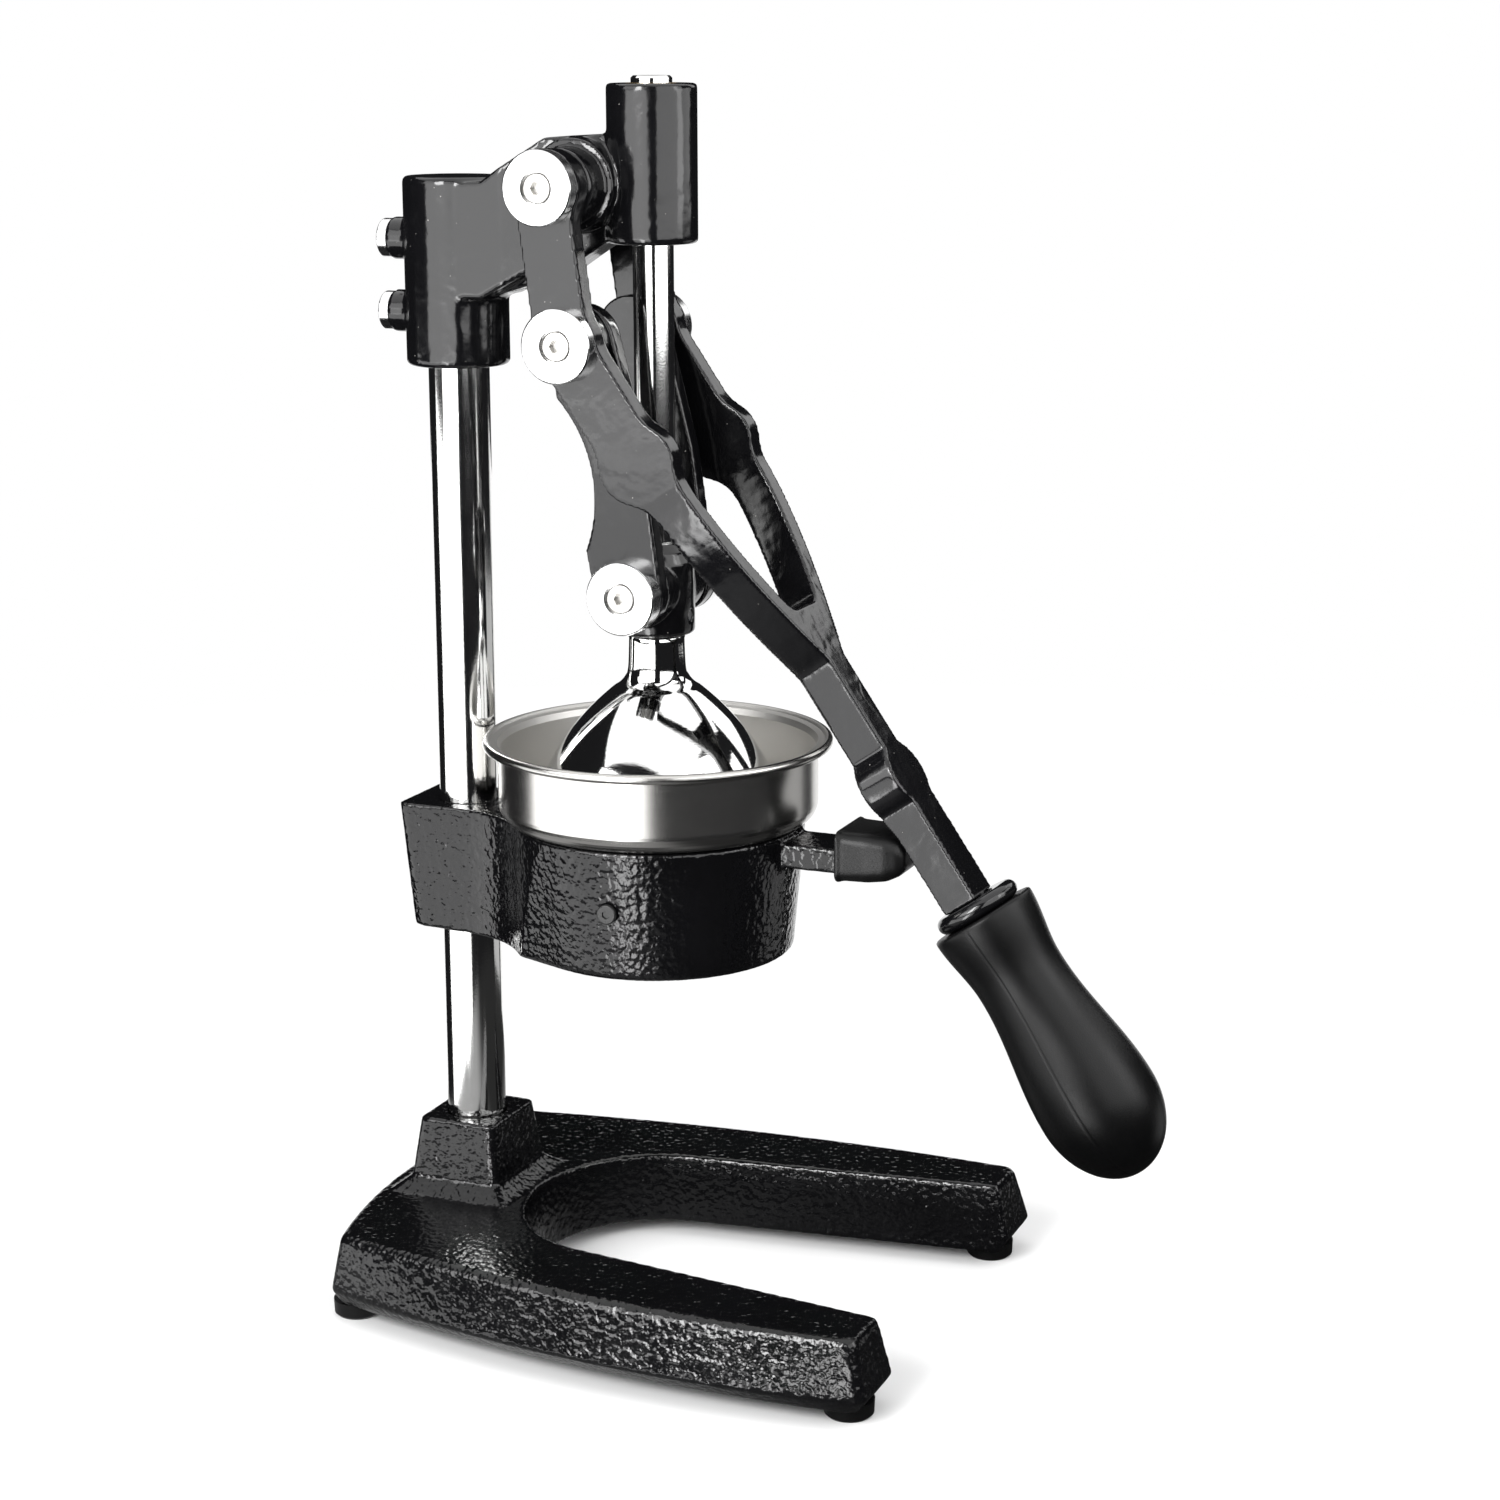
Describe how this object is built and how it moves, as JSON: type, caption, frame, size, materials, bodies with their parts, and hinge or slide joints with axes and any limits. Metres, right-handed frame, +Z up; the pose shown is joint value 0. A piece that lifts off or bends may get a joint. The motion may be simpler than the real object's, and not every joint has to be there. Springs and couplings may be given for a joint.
{
  "type": "lever citrus press",
  "caption": "Hand citrus press: a forked lever swings bowed links that drive a polished bell on a guided rod down into a strainer cup, on a column with a U-shaped base.",
  "frame": {"origin": "on the floor under the middle of the bounding box, with the press closed", "axes": "+X forward from the column to the grip, +Y to the object's left, +Z up"},
  "size_m": [0.3002, 0.1956, 0.4455],
  "materials": {
    "base": "gloss hammered enamel",
    "rubber_feet": "matte",
    "foot_screws": "zinc plated",
    "column": "polished with fine turning lines",
    "column_bolt": "zinc plated",
    "column_washer": "zinc plated",
    "cup_holder": "gloss hammered enamel",
    "holder_screw": "black oxide",
    "holder_clamp_screw": "black oxide",
    "bumper": "matte",
    "juice_funnel": "satin",
    "strainer_cup": "satin",
    "reamer_cone": "satin",
    "head_bracket": "gloss enamel",
    "head_screws": "polished",
    "guide_bush_lower": "oiled bronze",
    "guide_bush_upper": "oiled bronze",
    "lever_washers": "oiled bronze",
    "lever_pivot_caps": "polished",
    "lever_pivot_bolts": "polished",
    "lever": "gloss enamel",
    "lever_bushes": "oiled bronze",
    "grip_collar": "gloss enamel",
    "grip": "matte with a fine grain",
    "elbow_caps": "polished",
    "elbow_bolts": "polished",
    "elbow_spacers": "gloss enamel",
    "link_left": "gloss enamel",
    "foot_cap_left": "polished",
    "foot_bolt_left": "polished",
    "link_right": "gloss enamel",
    "foot_cap_right": "polished",
    "foot_bolt_right": "polished",
    "press_rod": "polished",
    "crosshead": "gloss enamel",
    "crosshead_pin": "plain",
    "press_bell": "mirror polish",
    "bell_nut": "plain"
  },
  "bodies": {
    "frame": {"base": "base", "rubber_feet": "rubber_feet", "foot_screws": "foot_screws", "column": "column", "column_bolt": "column_bolt", "column_washer": "column_washer", "cup_holder": "cup_holder", "holder_screw": "holder_screw", "holder_clamp_screw": "holder_clamp_screw", "bumper": "bumper", "juice_funnel": "juice_funnel", "strainer_cup": "strainer_cup", "reamer_cone": "reamer_cone", "head_bracket": "head_bracket", "head_screws": "head_screws", "guide_bush_lower": "guide_bush_lower", "guide_bush_upper": "guide_bush_upper", "lever_washers": "lever_washers", "lever_pivot_caps": "lever_pivot_caps", "lever_pivot_bolts": "lever_pivot_bolts"},
    "lever": {"lever": "lever", "lever_bushes": "lever_bushes", "grip_collar": "grip_collar", "grip": "grip", "elbow_caps": "elbow_caps", "elbow_bolts": "elbow_bolts", "elbow_spacers": "elbow_spacers"},
    "link_left": {"link_left": "link_left", "foot_cap_left": "foot_cap_left", "foot_bolt_left": "foot_bolt_left"},
    "link_right": {"link_right": "link_right", "foot_cap_right": "foot_cap_right", "foot_bolt_right": "foot_bolt_right"},
    "plunger": {"press_rod": "press_rod", "crosshead": "crosshead", "crosshead_pin": "crosshead_pin", "press_bell": "press_bell", "bell_nut": "bell_nut"}
  },
  "joints": [
    {"name": "lever_hinge", "type": "hinge", "parent": "frame", "child": "lever", "pos_m": [-0.0654, 0, 0.4088], "axis": [0, -1, 0], "range_deg": [0, 110]},
    {"name": "elbow_left", "type": "hinge", "parent": "lever", "child": "link_left", "pos_m": [-0.05946, 0, 0.35583], "axis": [0, -1, 0], "range_deg": [-137.44, 0]},
    {"name": "elbow_right", "type": "hinge", "parent": "lever", "child": "link_right", "pos_m": [-0.05946, 0, 0.35583], "axis": [0, -1, 0], "range_deg": [-137.44, 0]},
    {"name": "plunger_slide", "type": "slide", "parent": "frame", "child": "plunger", "axis": [0, 0, 1], "range_m": [0, 0.07866]}
  ],
  "couplings": [
    {"joint": "elbow_left", "follows": "lever_hinge", "ratio": -1.2449},
    {"joint": "elbow_right", "follows": "lever_hinge", "ratio": -1.2449},
    {"joint": "plunger_slide", "follows": "lever_hinge", "m_per_rad": 0.040817}
  ]
}
